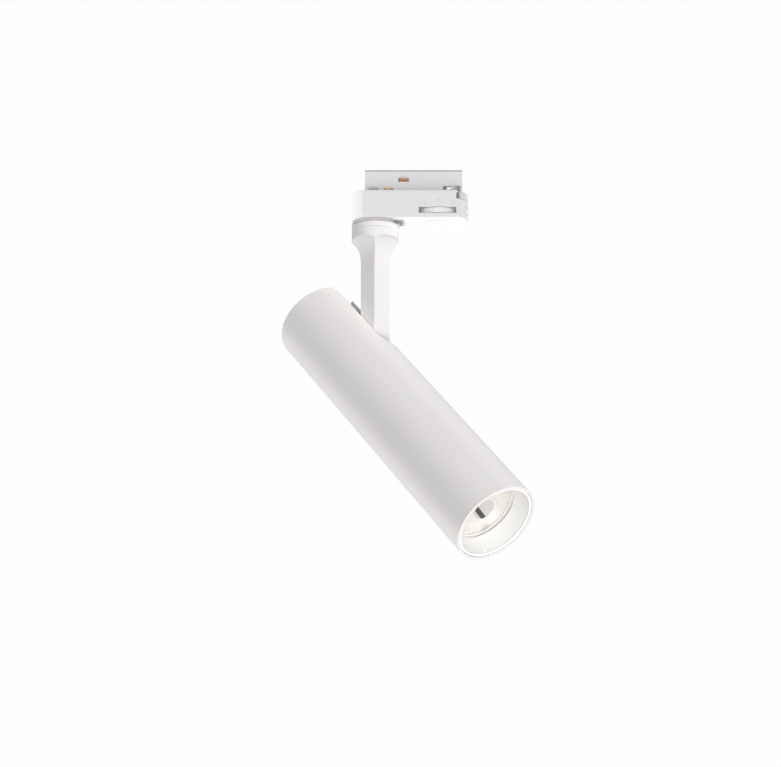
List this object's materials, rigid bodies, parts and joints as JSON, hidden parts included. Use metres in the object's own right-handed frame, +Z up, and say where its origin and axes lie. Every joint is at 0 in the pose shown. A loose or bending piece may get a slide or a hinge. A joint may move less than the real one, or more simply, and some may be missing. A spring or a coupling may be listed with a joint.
{
  "type": "track spotlight",
  "caption": "Slim white cylinder spotlight on a square arm that folds into a slot in the tube, swivelling under a three-circuit track adapter with a selector wheel and a lock lever.",
  "frame": {"origin": "on the swivel axis, in the plane of the adapter face that bears on the underside of the track", "axes": "+Z up along the swivel axis, +X along the track towards the adapter's lever end; the arm and head are stored turned 45 degrees about Z and tilted 46.6 degrees"},
  "size_m": [0.1876, 0.1876, 0.3112],
  "materials": {
    "baffle_coat": "matt warm white",
    "black_plastic": "glass-filled black",
    "brass": "turned",
    "bright_reflector": "metallised faceted bowl",
    "cable_white": "soft cable sheath",
    "cap_sleeve": "shrink sleeve",
    "cast_aluminium": "machined natural",
    "ceramic_white": "ceramic board",
    "clear_glass": "clear with a frosted centre",
    "copper_alloy": "bright rolled strip",
    "copper_winding": "enamelled wire",
    "core_black": "ferrite and tape",
    "dark_bracket": "dark anodised sheet",
    "friction_fibre": "friction facing",
    "gasket_white": "silicone",
    "grey_plastic": "plain light grey",
    "pcb_green": "solder mask over laminate",
    "phosphor": "phosphor gel",
    "sheet_aluminium": "mill finish sheet",
    "spring_steel": "plain spring steel",
    "thermal_grey": "soft pad",
    "warm_white_paint": "smooth satin powder coat, slightly warmer",
    "white_paint": "smooth satin powder coat",
    "white_plastic": "semi-gloss white",
    "white_shell": "fine satin moulding, very slightly cool white",
    "wire_brown": "wire insulation",
    "wire_red": "wire insulation",
    "zinc_steel": "bright zinc plate"
  },
  "bodies": {
    "adapter": {"adapter_housing": "white_shell", "adapter_cover": "white_shell", "cover_screws": "zinc_steel", "neck_bush": "black_plastic", "terminal_block": "grey_plastic", "terminal_screws": "zinc_steel", "adapter_wires": "wire_brown", "neutral_contact": "copper_alloy", "earth_contacts": "copper_alloy", "hook_plate": "zinc_steel"},
    "selector": {"selector_wheel": "white_shell", "selector_spindle": "zinc_steel", "contact_drum": "grey_plastic", "phase_contacts": "copper_alloy"},
    "lock": {"lock_lever": "white_plastic", "lock_shaft": "zinc_steel", "lock_cam": "zinc_steel", "lock_screw": "zinc_steel"},
    "latch": {"latch_tab": "white_shell"},
    "arm": {"swivel_ring": "warm_white_paint", "arm": "warm_white_paint", "pan_spindle": "zinc_steel", "pan_nut": "zinc_steel", "wave_washer": "spring_steel", "stop_washer": "spring_steel", "supply_cable": "cable_white"},
    "head": {"tube_housing": "white_paint", "rear_cap": "white_paint", "rear_cap_screws": "zinc_steel", "hinge_bracket": "dark_bracket", "bracket_screws": "zinc_steel", "hinge_bolt": "zinc_steel", "hinge_nut": "zinc_steel", "disc_spring": "spring_steel", "friction_washers": "friction_fibre", "driver_tray": "sheet_aluminium", "driver_board": "pcb_green", "board_standoffs": "brass", "board_screws": "zinc_steel", "driver_transformer": "core_black", "driver_capacitors": "cap_sleeve", "driver_choke": "copper_winding", "driver_connectors": "white_plastic", "heat_sink": "cast_aluminium", "heat_sink_screws": "zinc_steel", "thermal_pad": "thermal_grey", "led_wires": "wire_red", "cob_board": "ceramic_white", "cob_phosphor": "phosphor", "cob_holder": "white_plastic", "cob_screws": "zinc_steel", "reflector": "bright_reflector", "front_glass": "clear_glass", "glass_gasket": "gasket_white", "baffle": "baffle_coat", "front_ring": "white_paint", "head_cable": "cable_white"}
  },
  "joints": [
    {"name": "pan", "type": "hinge", "parent": "adapter", "child": "arm", "pos_m": [0, 0, -0.03], "axis": [0, 0, 1], "range_deg": [-135, 200]},
    {"name": "tilt", "type": "hinge", "parent": "arm", "child": "head", "pos_m": [0, 0, -0.11841], "axis": [-0.7071, -0.7071, 0], "range_deg": [-46.6, 43.4]},
    {"name": "selector_turn", "type": "hinge", "parent": "adapter", "child": "selector", "pos_m": [0.0484, 0, 0], "axis": [0, 0, 1], "range_deg": [-40, 80]},
    {"name": "lock_turn", "type": "hinge", "parent": "adapter", "child": "lock", "pos_m": [0.062, 0, 0], "axis": [0, 0, 1], "range_deg": [0, 90]},
    {"name": "release_press", "type": "slide", "parent": "adapter", "child": "latch", "axis": [-1, 0, 0], "range_m": [0, 0.0008]}
  ]
}
